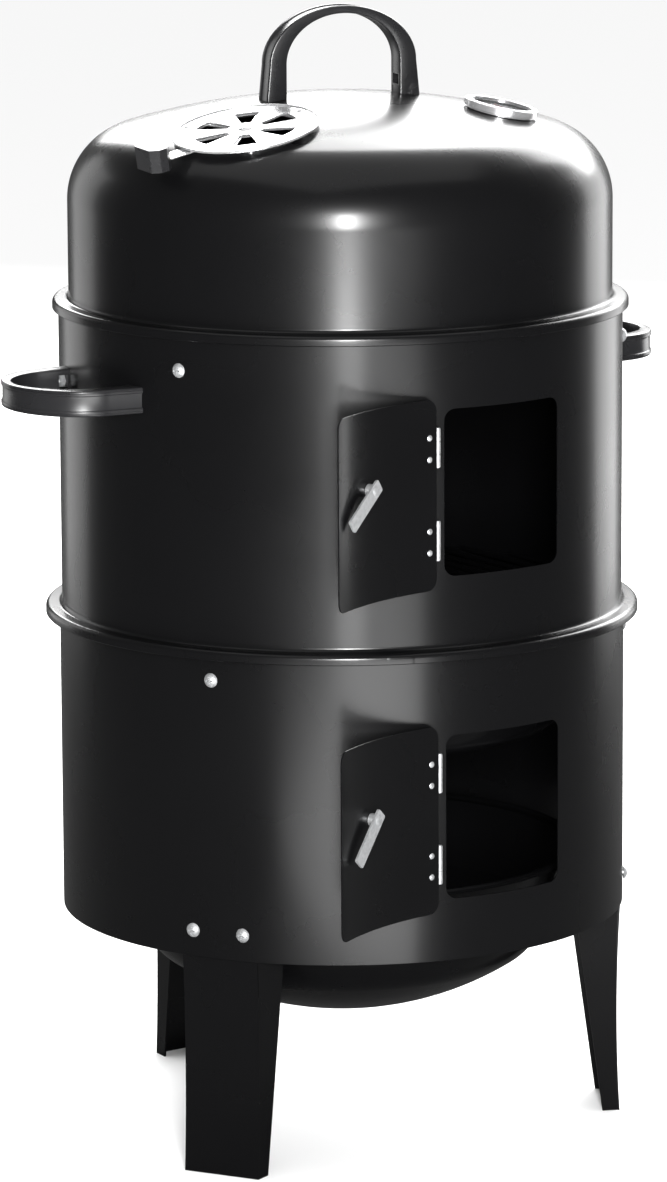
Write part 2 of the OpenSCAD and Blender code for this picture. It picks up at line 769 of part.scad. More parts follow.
module upper_door() { door_panel(upper_r, upper_door_z); }
module upper_hinge_frame_leaves() { hinge_leaves(upper_r, upper_door_z, true); }
module upper_hinge_door_leaves() { swing(upper_r) hinge_leaves(upper_r, upper_door_z, false); }
module upper_hinge_pins() { hinge_pins(upper_r, upper_door_z); }
module upper_frame_rivets() { hinge_rivets(upper_r, upper_door_z, true); }
module upper_door_rivets() { swing(upper_r) hinge_rivets(upper_r, upper_door_z, false); }
module upper_latch_bar() { latch_bar(upper_r, upper_door_z, upper_latch_droop); }
module upper_latch_spindle() { latch_spindle(upper_r, upper_door_z); }
module upper_latch_knob() { latch_knob(upper_r, upper_door_z); }

// ---------- handles ----------

// Arched handle of height h standing on the plane z = 0, in the XZ plane; its feet reach below the plane
module grip(h, below) {
    color(bakelite) rotate([90, 0, 0]) translate([0, 0, -grip_b / 2]) difference() {
        linear_extrude(height = grip_b) difference() {
            union() {
                translate([0, h - grip_r]) intersection() {
                    circle(r = grip_r, $fn = 180);
                    translate([-grip_r, 0]) square([2 * grip_r, grip_r]);
                }
                translate([-grip_r, -below]) square([2 * grip_r, h - grip_r + below]);
            }
            translate([0, h - grip_t - grip_hole_r]) circle(r = grip_hole_r, $fn = 180);
            translate([-grip_hole_r, -below - 1])
                square([2 * grip_hole_r, h - grip_t - grip_hole_r + below + 1]);
        }
        for (s = [0, 1]) mirror([s, 0, 0]) {
            translate([grip_hole_r - 2, grip_pad, (grip_b - notch_w) / 2])
                cube([grip_screw_x + nut_r + 0.5 - grip_hole_r + 2, notch_h, notch_w]);
            translate([grip_screw_x, -below - 1, grip_b / 2]) rotate([-90, 0, 0])
                cylinder(r = screw_r + fit, h = below + grip_pad + 2, $fn = 32);
        }
    }
}

// The crown's height at the handle's feet, below the lid's top
foot_dip = crown_r - sqrt(pow(crown_r, 2) - pow(grip_r, 2));

module lid_grip_frame() {
    rotate([0, 0, lid_grip_turn]) translate([0, 0, lid_top]) children();
}

module lid_handle() {
    difference() {
        lid_grip_frame() grip(lid_grip_h, foot_dip + 2);
        color(bakelite) translate([0, 0, crown_z]) sphere(r = crown_r + wall_gap, $fn = 360);
    }
}

module lid_handle_screws() {
    color(steel) lid_grip_frame() for (s = [-1, 1])
        translate([s * grip_screw_x, 0, -foot_dip - sheet - wall_gap]) mirror([0, 0, 1])
            screw(foot_dip + grip_pad + sheet + nut_h + 1);
}

module lid_handle_nuts() {
    color(steel) lid_grip_frame() for (s = [-1, 1])
        translate([s * grip_screw_x, 0, grip_pad + wall_gap]) hex_nut(nut_r, nut_h, screw_r + fit);
}

// The drum's outer face at the side handles' screws, below its outermost point
wall_dip = upper_r - sqrt(pow(upper_r, 2) - pow(grip_r, 2));

module side_grip_frame(az) {
    rotate([0, 0, az]) translate([0, -upper_r, side_grip_z]) rotate([90, 0, 0]) children();
}

module side_handle(az) {
    difference() {
        side_grip_frame(az) side_grip();
        color(bakelite) translate([0, 0, side_grip_z - grip_b])
            cylinder(r = upper_r + wall_gap, h = 2 * grip_b, $fn = 180);
    }
}

module side_grip() {
    translate([0, 0, -wall_dip]) grip(side_grip_reach + wall_dip, 2);
}

module left_handle() { side_handle(side_grip_az[0]); }
module right_handle() { side_handle(side_grip_az[1]); }

module side_handle_screws() {
    inner_dip = upper_r - sqrt(pow(upper_r - sheet, 2) - pow(grip_screw_x + head_r, 2));
    color(steel) for (az = side_grip_az, s = [-1, 1]) side_grip_frame(az)
        translate([s * grip_screw_x, 0, -inner_dip - wall_gap]) mirror([0, 0, 1])
            screw(inner_dip - wall_dip + grip_pad + nut_h + 1);
}

module side_handle_nuts() {
    color(steel) for (az = side_grip_az, s = [-1, 1]) side_grip_frame(az)
        translate([s * grip_screw_x, 0, -wall_dip + grip_pad + wall_gap]) hex_nut(nut_r, nut_h, screw_r + fit);
}

// ---------- vent ----------

module ports_2d() {
    far = port_r1 / cos(port_angle / 2) + 1;
    intersection() {
        difference() {
            circle(r = port_r1);
            circle(r = port_r0);
        }
        for (k = [0 : ports - 1]) rotate(k * 360 / ports) polygon([
            [0, 0], [far, -far * tan(port_angle / 2)], [far, far * tan(port_angle / 2)]
        ]);
    }
}

module vent_rivet_places() {
    for (a = [60, 180, 300]) rotate([0, 0, a + tab_az]) translate([vent_rivet_rho, 0, 0]) children();
}

module vent_cover() {
    top = cover_z + cover_t;
    color(steel) on_crown(vent_az, vent_dist) difference() {
        rotate_extrude($fn = 120) {
            translate([0, cover_z]) square([vent_r - vent_bead_r, cover_t]);
            translate([cover_step - skirt_t, skirt_z]) square([skirt_t, top - skirt_z]);
            translate([vent_r - vent_bead_r, top]) circle(r = vent_bead_r, $fn = 24);
        }
        translate([0, 0, cover_z - 1]) linear_extrude(height = 4) ports_2d();
        translate([0, 0, cover_z - 1]) cylinder(r = latch_shaft_r + fit, h = 4, $fn = 32);
        translate([0, 0, skirt_z - 1]) linear_extrude(height = cover_z - skirt_z + 1) polygon([
            [vent_r / 2, 0], for (a = [-1, 0, 1]) 70 * [cos(tab_az + a * tab_sweep * 1.6), sin(tab_az + a * tab_sweep * 1.6)]
        ]);
        vent_rivet_places() translate([0, 0, cover_z - 1]) cylinder(r = hinge_rivet_r + fit, h = 4, $fn = 32);
    }
}

module vent_damper() {
    color(steel) on_crown(vent_az, vent_dist) translate([0, 0, damper_z]) linear_extrude(height = damper_t)
        difference() {
            union() {
                circle(r = damper_r, $fn = 120);
                rotate(tab_az) translate([damper_r - 5, -tab_w / 2]) square([knob_dist - damper_r + 8, tab_w]);
            }
            rotate(damper_turn) ports_2d();
            circle(r = latch_shaft_r + fit, $fn = 32);
        }
}

module vent_pivot() {
    color(steel) on_crown(vent_az, vent_dist) translate([0, 0, damper_z - 0.3]) {
        translate([0, 0, -0.2]) cylinder(r = latch_shaft_r, h = cover_z + cover_t - damper_z + 0.7, $fn = 32);
        translate([0, 0, cover_z + cover_t - damper_z + 0.3 + wall_gap]) cap_head(5, 1.6);
        mirror([0, 0, 1]) cap_head(5, 1.2);
    }
}

module vent_rivets() {
    tail_z = skirt_z - sheet - 1.6;
    color(steel) on_crown(vent_az, vent_dist) vent_rivet_places() translate([0, 0, tail_z])
        rivet(hinge_rivet_r, cover_z + cover_t + wall_gap - tail_z, vent_rivet_head_r, 0.9);
}

module vent_knob() {
    l = 16;
    w = 28;
    c = 5;
    color(bakelite) on_crown(vent_az, vent_dist) rotate([0, 0, tab_az]) difference() {
        translate([knob_dist - l / 2, 0, damper_z - knob_drop]) linear_extrude(height = 16) polygon([
            [0, -w / 2 + c], [c, -w / 2], [l - c, -w / 2], [l, -w / 2 + c],
            [l, w / 2 - c], [l - c, w / 2], [c, w / 2], [0, w / 2 - c]
        ]);
        translate([knob_dist - l, -tab_w / 2 - fit, damper_z - fit])
            cube([l + 3.1, tab_w + 2 * fit, damper_t + 2 * fit]);
    }
}

// ---------- thermometer ----------

module gauge_frame() {
    on_crown(gauge_az, gauge_dist) children();
}

module thermometer_case() {
    color(steel) gauge_frame() difference() {
        translate([0, 0, wall_gap]) cylinder(r = gauge_r - 2, h = gauge_h - 2);
        translate([0, 0, wall_gap + gauge_wall]) cylinder(r = gauge_r - 2 - gauge_wall, h = gauge_h);
        translate([0, 0, -1]) cylinder(r = thread_r + fit, h = 4, $fn = 32);
    }
}

module thermometer_bezel() {
    color(steel) gauge_frame() rotate_extrude() {
        translate([gauge_r - 2 + fit, gauge_h - 5.5]) square([2 - fit, 4]);
        translate([gauge_r - 4.5, gauge_h - 2 + wall_gap + fit]) square([3.5, 1]);
        translate([gauge_r - 1, gauge_h - 1.9]) circle(r = 1, $fn = 32);
    }
}

module thermometer_dial() {
    color("white") gauge_frame() translate([0, 0, wall_gap + gauge_wall + fit]) difference() {
        cylinder(r = gauge_r - 3 - wall_gap, h = 0.8);
        translate([0, 0, -1]) cylinder(r = thread_r + fit, h = 3, $fn = 32);
    }
}

module thermometer_needle() {
    color([0.75, 0.1, 0.08]) gauge_frame() translate([0, 0, needle_z]) rotate([0, 0, needle_rest]) difference() {
        linear_extrude(height = needle_t) {
            circle(r = 2.6, $fn = 32);
            polygon([[-7, -1], [gauge_r - 8, -0.4], [gauge_r - 7, 0], [gauge_r - 8, 0.4], [-7, 1]]);
        }
        translate([0, 0, -1]) cylinder(r = 0.8, h = 3, $fn = 24);
    }
}

module thermometer_glass() {
    color([0.85, 0.9, 0.92, 0.3]) gauge_frame() translate([0, 0, gauge_h - 3.2]) cylinder(r = gauge_r - 3.2, h = 1.2);
}

module thermometer_probe() {
    color(steel) gauge_frame() {
        translate([0, 0, -probe_l]) cylinder(r = probe_r, h = probe_l, $fn = 32);
        translate([0, 0, -probe_l]) sphere(r = probe_r, $fn = 32);
        translate([0, 0, -9]) cylinder(r = thread_r, h = 11, $fn = 32);
        cylinder(r = 0.75, h = needle_z + needle_t + 0.3, $fn = 24);
    }
}

module thermometer_nut() {
    color(steel) gauge_frame() translate([0, 0, -sheet - 0.3 - 4]) hex_nut(8, 4, thread_r + fit);
}

lower_drum();
upper_drum();
lid_shell();
leg_front_left();
leg_right();
leg_back();
leg_screws();
leg_nuts();
lower_brackets();
lower_bracket_screws();
lower_bracket_nuts();
upper_brackets();
upper_bracket_screws();
upper_bracket_nuts();
charcoal_pan();
water_pan();
lower_grate();
upper_grate();
lower_door();
lower_hinge_frame_leaves();
lower_hinge_door_leaves();
lower_hinge_pins();
lower_frame_rivets();
lower_door_rivets();
lower_latch_bar();
lower_latch_spindle();
lower_latch_knob();
upper_door();
upper_hinge_frame_leaves();
upper_hinge_door_leaves();
upper_hinge_pins();
upper_frame_rivets();
upper_door_rivets();
upper_latch_bar();
upper_latch_spindle();
upper_latch_knob();
lid_handle();
lid_handle_screws();
lid_handle_nuts();
left_handle();
right_handle();
side_handle_screws();
side_handle_nuts();
vent_cover();
vent_damper();
vent_pivot();
vent_rivets();
vent_knob();
thermometer_case();
thermometer_bezel();
thermometer_dial();
thermometer_needle();
thermometer_glass();
thermometer_probe();
thermometer_nut();
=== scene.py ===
"""Vertical water smoker: finished lid and drums, handles, dial, materials, studio and camera."""
import json
import math

import bmesh
import bpy
import numpy as np
from mathutils import Matrix, Vector


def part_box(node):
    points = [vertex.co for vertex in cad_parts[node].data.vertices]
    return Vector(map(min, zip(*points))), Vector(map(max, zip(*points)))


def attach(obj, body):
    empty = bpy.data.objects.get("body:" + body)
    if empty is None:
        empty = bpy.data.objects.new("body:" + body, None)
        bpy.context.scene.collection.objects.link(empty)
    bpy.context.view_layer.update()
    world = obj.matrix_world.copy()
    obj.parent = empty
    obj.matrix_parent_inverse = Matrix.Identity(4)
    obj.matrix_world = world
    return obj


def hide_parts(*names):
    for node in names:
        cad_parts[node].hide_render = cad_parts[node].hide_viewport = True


bl_info = {
    "name": "Vertical Water Smoker",
    "version": (1, 0, 0),
    "blender": (4, 5, 0),
    "location": "View3D > Sidebar > Smoker",
    "description": "Builds the looks of a vertical water smoker around its frame",
    "category": "Add Mesh",
}

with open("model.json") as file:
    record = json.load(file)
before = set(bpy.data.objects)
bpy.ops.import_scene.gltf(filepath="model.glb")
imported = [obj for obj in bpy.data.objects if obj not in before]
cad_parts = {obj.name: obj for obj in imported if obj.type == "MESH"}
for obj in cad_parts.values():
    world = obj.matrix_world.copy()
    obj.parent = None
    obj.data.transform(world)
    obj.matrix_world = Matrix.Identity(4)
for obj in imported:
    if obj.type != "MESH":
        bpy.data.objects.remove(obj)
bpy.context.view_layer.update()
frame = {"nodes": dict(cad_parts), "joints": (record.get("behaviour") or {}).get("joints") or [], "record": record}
NODES = frame["nodes"]
MM = 0.001


# ---------- sizes that come from the frame ----------

def joint(name):
    return next(j for j in frame["joints"] if j["name"] == name)


def local_frame(origin, normal):
    """Matrix whose +Z is the normal and whose -Y points away from the smoker's axis."""
    z = Vector(normal).normalized()
    out = Vector((origin[0], origin[1], 0)).normalized()
    y = (-out - z * z.dot(-out)).normalized()
    m = Matrix((y.cross(z), y, z)).transposed().to_4x4()
    m.translation = Vector(origin)
    return m


DRUM_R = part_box("lower_drum")[1].x
DRUM_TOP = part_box("lower_drum")[1].z
LID_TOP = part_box("lid_shell")[1].z
LID_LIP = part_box("lid_shell")[0].z
RIM_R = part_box("upper_drum")[1].x
UPPER_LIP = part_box("upper_drum")[0].z
LID_RIM_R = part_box("lid_shell")[1].x

# sizes that follow the part's own named values
LIP_H = 3.8 * MM
LIP_BEND = 3.3 * MM
WALL_BEND = 3 * MM
CROWN_R = 549 * MM
SHOULDER_R = 53 * MM
VENT_HOLE_R = 37.5 * MM
SEGMENTS = 384


# ---------- properties ----------

class SmokerShape(bpy.types.PropertyGroup):
    """Sizes of the finished sheet metal and the handles."""

    rim_out: bpy.props.FloatProperty(
        name="Rim flare", description="How far a seat rim flares out from its wall",
        default=11.5 * MM, min=0.005, max=0.02, unit="LENGTH")
    sheet: bpy.props.FloatProperty(
        name="Sheet", description="Thickness of the drum and lid sheet",
        default=1 * MM, min=0.0005, max=0.003, unit="LENGTH")
    door_width: bpy.props.FloatProperty(
        name="Doorway width", description="Width of a door opening",
        default=95 * MM, min=0.05, max=0.15, unit="LENGTH")
    door_height: bpy.props.FloatProperty(
        name="Doorway height", description="Height of a door opening",
        default=115 * MM, min=0.05, max=0.2, unit="LENGTH")
    door_corner: bpy.props.FloatProperty(
        name="Doorway corner", description="Corner radius of a door opening",
        default=8 * MM, min=0.002, max=0.02, unit="LENGTH")
    grip_width: bpy.props.FloatProperty(
        name="Handle width", description="Outer width of a handle",
        default=115 * MM, min=0.08, max=0.14, unit="LENGTH")
    grip_breadth: bpy.props.FloatProperty(
        name="Handle breadth", description="Breadth of a handle's strap",
        default=18 * MM, min=0.01, max=0.03, unit="LENGTH")
    grip_leg: bpy.props.FloatProperty(
        name="Handle leg", description="Thickness of a handle's legs",
        default=16 * MM, min=0.01, max=0.02, unit="LENGTH")
    grip_crown: bpy.props.FloatProperty(
        name="Handle crown", description="Thickness of the strap at the middle of the arch",
        default=5.4 * MM, min=0.003, max=0.01, unit="LENGTH")


class SmokerFinish(bpy.types.PropertyGroup):
    """Colours and gloss of the finishes."""

    enamel: bpy.props.FloatVectorProperty(
        name="Enamel", description="Colour of the black enamel", subtype="COLOR",
        default=(0.0026, 0.0026, 0.0029), min=0, max=1)
    enamel_gloss: bpy.props.FloatProperty(
        name="Enamel roughness", description="Roughness of the enamel", default=0.27,
        min=0, max=1, subtype="FACTOR")
    zinc: bpy.props.FloatVectorProperty(
        name="Zinc", description="Colour of the zinc-plated steel", subtype="COLOR",
        default=(0.62, 0.63, 0.64), min=0, max=1)
    chrome: bpy.props.FloatVectorProperty(
        name="Chrome", description="Colour of the chromed steel", subtype="COLOR",
        default=(0.80, 0.80, 0.81), min=0, max=1)
    bakelite: bpy.props.FloatVectorProperty(
        name="Handles", description="Colour of the moulded handles", subtype="COLOR",
        default=(0.012, 0.012, 0.013), min=0, max=1)


class SmokerStage(bpy.types.PropertyGroup):
    """Camera and studio light."""

    azimuth: bpy.props.FloatProperty(
        name="Azimuth", description="Direction of the camera round the smoker",
        default=math.radians(-34.4), subtype="ANGLE")
    distance: bpy.props.FloatProperty(
        name="Distance", description="Distance of the camera from the smoker's axis",
        default=4.173, min=1, max=20, unit="LENGTH")
    height: bpy.props.FloatProperty(
        name="Height", description="Height of the camera", default=1.1878, min=0, max=5,
        unit="LENGTH")
    pitch: bpy.props.FloatProperty(
        name="Pitch", description="How far the camera looks down",
        default=math.radians(10.99), subtype="ANGLE")
    roll: bpy.props.FloatProperty(
        name="Roll", description="Turn of the camera about its own axis",
        default=-0.005, subtype="ANGLE")
    lens: bpy.props.FloatProperty(
        name="Lens", description="Focal length of the camera in millimetres",
        default=182.35, min=20, max=400)


# ---------- mesh helpers ----------

def add_piece(name, mesh, body, slot, *replaced):
    obj = bpy.data.objects.new(name, mesh)
    bpy.context.scene.collection.objects.link(obj)
    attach(obj, body)
    if replaced:
        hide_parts(*replaced)
    return obj


def mesh_of(name, verts, faces):
    mesh = bpy.data.meshes.new(name)
    mesh.from_pydata([tuple(v) for v in verts], [], faces)
    mesh.validate()
    for face in mesh.polygons:
        face.use_smooth = True
    return mesh


def arc(cx, cz, r, a0, a1, steps):
    """Points of an arc from angle a0 to a1 in degrees, as (radius, height)."""
    angles = [math.radians(a0 + (a1 - a0) * i / steps) for i in range(steps + 1)]
    return [(cx + r * math.cos(a), cz + r * math.sin(a)) for a in angles]


def lathe(name, profile, segments=360):
    """Surface of revolution about the Z axis; a profile point on the axis becomes a pole."""
    verts, rings = [], []
    for r, z in profile:
        if r < 1e-7:
            rings.append([len(verts)])
            verts.append((0, 0, z))
            continue
        rings.append([len(verts) + i for i in range(segments)])
        for i in range(segments):
            a = 2 * math.pi * i / segments
            verts.append((r * math.cos(a), r * math.sin(a), z))
    faces = []
    for lower, upper in zip(rings, rings[1:]):
        for i in range(segments):
            j = (i + 1) % segments
            quad = [lower[i % len(lower)], lower[j % len(lower)],
                    upper[j % len(upper)], upper[i % len(upper)]]
            face = list(dict.fromkeys(quad))
            if len(face) > 2:
                faces.append(face)
    return mesh_of(name, verts, faces)


def cut(mesh, cutters):
    """Subtracts closed meshes from a mesh."""
    target = bpy.data.objects.new("cut_target", mesh)
    bpy.context.scene.collection.objects.link(target)
    tools = []
    for tool_mesh in cutters:
        tool = bpy.data.objects.new("cut_tool", tool_mesh)
        bpy.context.scene.collection.objects.link(tool)
        mod = target.modifiers.new("Cut", "BOOLEAN")
        mod.operation = "DIFFERENCE"
        mod.solver = "EXACT"
        mod.object = tool
        tools.append(tool)
    graph = bpy.context.evaluated_depsgraph_get()
    result = bpy.data.meshes.new_from_object(target.evaluated_get(graph))
    result.name = mesh.name
    for obj in [target] + tools:
        bpy.data.objects.remove(obj)
    return result


def cylinder_mesh(matrix, radius, z0, z1, segments=96):
    bm = bmesh.new()
    bmesh.ops.create_cone(bm, cap_ends=True, segments=segments, radius1=radius, radius2=radius,
                          depth=z1 - z0, matrix=matrix @ Matrix.Translation((0, 0, (z0 + z1) / 2)))
    mesh = bpy.data.meshes.new("cylinder")
    bm.to_mesh(mesh)
    bm.free()
    return mesh


def box_mesh(matrix, low, high):
    bm = bmesh.new()
    size = Vector(high) - Vector(low)
    middle = (Vector(high) + Vector(low)) / 2
    place = matrix @ Matrix.Translation(middle) @ Matrix.Diagonal((*size, 1))
    bmesh.ops.create_cube(bm, size=1, matrix=place)
    mesh = bpy.data.meshes.new("box")
    bm.to_mesh(mesh)
    bm.free()
    return mesh


def smooth_by_lathe(mesh, profile, limit=40):
    """Gives every corner the true normal of the turned profile, and keeps the cut edges sharp."""
    pts = np.array(profile)
    seg = pts[1:] - pts[:-1]
    normal = np.stack([seg[:, 1], -seg[:, 0]], 1)
    normal /= np.linalg.norm(normal, axis=1)[:, None]
    turn = np.degrees(np.arccos(np.clip((normal[1:] * normal[:-1]).sum(1), -1, 1)))
    at_point = np.vstack([normal[:1], normal[1:] + normal[:-1], normal[-1:]])
    at_point /= np.linalg.norm(at_point, axis=1)[:, None]
    start, end = at_point[:-1].copy(), at_point[1:].copy()
    for i, angle in enumerate(turn):
        if angle > limit:
            end[i] = normal[i]
            start[i + 1] = normal[i + 1]
    length = (seg ** 2).sum(1)
    custom = []
    for poly in mesh.polygons:
        for li in poly.loop_indices:
            co = mesh.vertices[mesh.loops[li].vertex_index].co
            r = math.hypot(co.x, co.y)
            middle = poly.center
            rm = math.hypot(middle.x, middle.y)
            p = np.array([r * 0.9 + rm * 0.1, co.z * 0.9 + middle.z * 0.1])
            t = np.clip(((p - pts[:-1]) * seg).sum(1) / length, 0, 1)
            gap = ((pts[:-1] + seg * t[:, None] - p) ** 2).sum(1)
            k = int(gap.argmin())
            n2 = start[k] * (1 - t[k]) + end[k] * t[k]
            out = Vector((co.x / max(r, 1e-9), co.y / max(r, 1e-9), 0)) if r > 1e-6 else Vector((0, 0, 0))
            n3 = out * float(n2[0]) + Vector((0, 0, float(n2[1])))
            n3.normalize()
            if n3.dot(poly.normal) < 0:
                n3.negate()
            custom.append(n3 if n3.dot(poly.normal) > 0.9 else poly.normal.copy())
    mesh.normals_split_custom_set(custom)


# ---------- finished pieces ----------

def rim_profile(wall_r, lip_z, rim_r):
    """Outer and inner lines of a flared rim from its lip up to the plain wall, as (radius, height)."""
    sheet = 1 * MM
    ledge = lip_z + LIP_H + LIP_BEND
    outer = [(rim_r - 0.5 * MM, lip_z), (rim_r, lip_z + 0.5 * MM)]
    outer += arc(rim_r - LIP_BEND, lip_z + LIP_H, LIP_BEND, 0, 90, 10)
    outer += arc(wall_r + WALL_BEND, ledge + WALL_BEND, WALL_BEND, 270, 180, 10)
    inner = arc(wall_r + WALL_BEND, ledge + WALL_BEND, WALL_BEND + sheet, 180, 270, 10)
    inner += arc(rim_r - LIP_BEND, lip_z + LIP_H, LIP_BEND - sheet, 90, 0, 8)
    inner += [(rim_r - sheet, lip_z + 0.3 * MM), (rim_r - 0.8 * MM, lip_z)]
    return outer, inner


def shell(name, body, outline, lining, cutters, replaced):
    """Closed sheet shell turned from its outer and inner lines, with openings cut through it."""
    profile = outline + lining + [outline[0]]
    mesh = lathe(name, profile, SEGMENTS)
    bm = bmesh.new()
    bm.from_mesh(mesh)
    bmesh.ops.remove_doubles(bm, verts=bm.verts, dist=1e-6)
    bmesh.ops.recalc_face_normals(bm, faces=bm.faces)
    bm.to_mesh(mesh)
    bm.free()
    mesh = cut(mesh, cutters)
    smooth_by_lathe(mesh, profile)
    obj = add_piece(name, mesh, body, "enamel", replaced)
    obj.data.materials.clear()
    obj.data.materials.append(bpy.data.materials["enamel"])
    return obj


def doorway_cutter(drum_r, z, shape):
    """Prism with rounded corners that cuts a doorway through the front of a drum."""
    w, h, r = shape.door_width / 2, shape.door_height / 2, shape.door_corner
    corners = []
    for cx, cz, a in ((w - r, h - r, 0), (-w + r, h - r, 90), (-w + r, -h + r, 180), (w - r, -h + r, 270)):
        corners += arc(cx, cz, r, a, a + 90, 12)
    bm = bmesh.new()
    face = bm.faces.new([bm.verts.new((x, -drum_r - 0.02, z + y)) for x, y in corners])
    far = bmesh.ops.extrude_face_region(bm, geom=[face])
    moved = [v for v in far["geom"] if isinstance(v, bmesh.types.BMVert)]
    bmesh.ops.translate(bm, verts=moved, vec=(0, 0.06, 0))
    bmesh.ops.recalc_face_normals(bm, faces=bm.faces)
    mesh = bpy.data.meshes.new("doorway")
    bm.to_mesh(mesh)
    bm.free()
    return mesh


class SMOKER_OT_lid(bpy.types.Operator):
    """Turns the domed lid with its flared rim and cuts the vent's opening"""

    bl_idname = "smoker.lid"
    bl_label = "Lid"

    def execute(self, context):
        shape = context.scene.smoker_shape
        sheet = shape.sheet
        wall_r = LID_RIM_R - shape.rim_out
        crown_z = LID_TOP - CROWN_R
        inward = wall_r - SHOULDER_R
        tilt = math.degrees(math.asin(inward / (CROWN_R - SHOULDER_R)))
        shoulder_z = crown_z + math.sqrt((CROWN_R - SHOULDER_R) ** 2 - inward ** 2)
        rim_outer, rim_inner = rim_profile(wall_r, LID_LIP, LID_RIM_R)
        outer = arc(inward, shoulder_z, SHOULDER_R, 0, 90 - tilt, 40)
        outer += arc(0, crown_z, CROWN_R, 90 - tilt, 90, 48)[1:]
        inner = arc(0, crown_z, CROWN_R - sheet, 90, 90 - tilt, 32)
        inner += arc(inward, shoulder_z, SHOULDER_R - sheet, 90 - tilt, 0, 24)[1:]
        outer[-1] = (0, outer[-1][1])
        inner[0] = (0, inner[0][1])
        vent = joint("vent_damper_turn")
        hole = cylinder_mesh(local_frame(vent["pos_m"], vent["axis"]), VENT_HOLE_R, -0.02, 0.02)
        shell("lid_dome", "lid", rim_outer + outer, inner + rim_inner, [hole], "lid_shell")
        return {"FINISHED"}


def rim_lap():
    """Short lap of sheet over the lip of the upper drum's seat rim, where its strip is joined."""
    start, span, steps = -26, 5.1, 16
    lift, taper = 0.5 * MM, 0.03
    bend_r, bend_z = RIM_R - LIP_BEND, UPPER_LIP + LIP_H
    ring = [(RIM_R + 0.02 * MM, UPPER_LIP + 0.4 * MM), (RIM_R + lift, UPPER_LIP + 0.6 * MM)]
    ring += [(r + lift, z) for r, z in arc(bend_r, bend_z, LIP_BEND, 0, 70, 6)]
    ring += arc(bend_r, bend_z, 3.2 * MM, 75, 0, 6)
    verts, faces = [], []
    for i in range(steps + 1):
        az = math.radians(start + span * i / steps)
        thin = taper if i in (0, steps) else 0
        for r, z in ring:
            r = bend_r + (r - bend_r) * (1 - thin)
            verts.append((r * math.sin(az), -r * math.cos(az), z))
    n = len(ring)
    for i in range(steps):
        for j in range(n):
            k = (j + 1) % n
            faces.append([i * n + j, i * n + k, (i + 1) * n + k, (i + 1) * n + j])
    faces.append(list(range(n)))
    faces.append([steps * n + j for j in reversed(range(n))])
    mesh = mesh_of("rim_lap", verts, faces)
    mesh.set_sharp_from_angle(angle=math.radians(50))
    lap = add_piece("rim_lap", mesh, "upper_section", "enamel")
    lap.data.materials.append(bpy.data.materials["enamel"])


class SMOKER_OT_drums(bpy.types.Operator):
    """Turns the two drums, cuts their doorways and laps the upper drum's seat rim"""

    bl_idname = "smoker.drums"
    bl_label = "Drums"

    def execute(self, context):
        shape = context.scene.smoker_shape
        sheet, lap = shape.sheet, 0.25 * MM
        low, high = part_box("lower_drum")[0].z, DRUM_TOP
        edge = [(DRUM_R - 0.7 * sheet, low), (DRUM_R - lap, low), (DRUM_R, low + lap)]
        edge += [(DRUM_R, high - lap), (DRUM_R - lap, high)]
        lining = [(DRUM_R - sheet + lap, high), (DRUM_R - sheet, high - lap), (DRUM_R - sheet, low + lap)]
        door = joint("lower_door_hinge")["pos_m"][2]
        shell("lower_drum_sheet", "base", edge, lining, [doorway_cutter(DRUM_R, door, shape)], "lower_drum")
        wall_r = RIM_R - shape.rim_out
        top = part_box("upper_drum")[1].z
        rim_outer, rim_inner = rim_profile(wall_r, UPPER_LIP, RIM_R)
        outline = rim_outer + [(wall_r, top - lap), (wall_r - lap, top)]
        lining = [(wall_r - sheet + lap, top), (wall_r - sheet, top - lap)] + rim_inner
        door = joint("upper_door_hinge")["pos_m"][2]
        shell("upper_drum_sheet", "upper_section", outline, lining, [doorway_cutter(wall_r, door, shape)],
              "upper_drum")
        rim_lap()
        return {"FINISHED"}


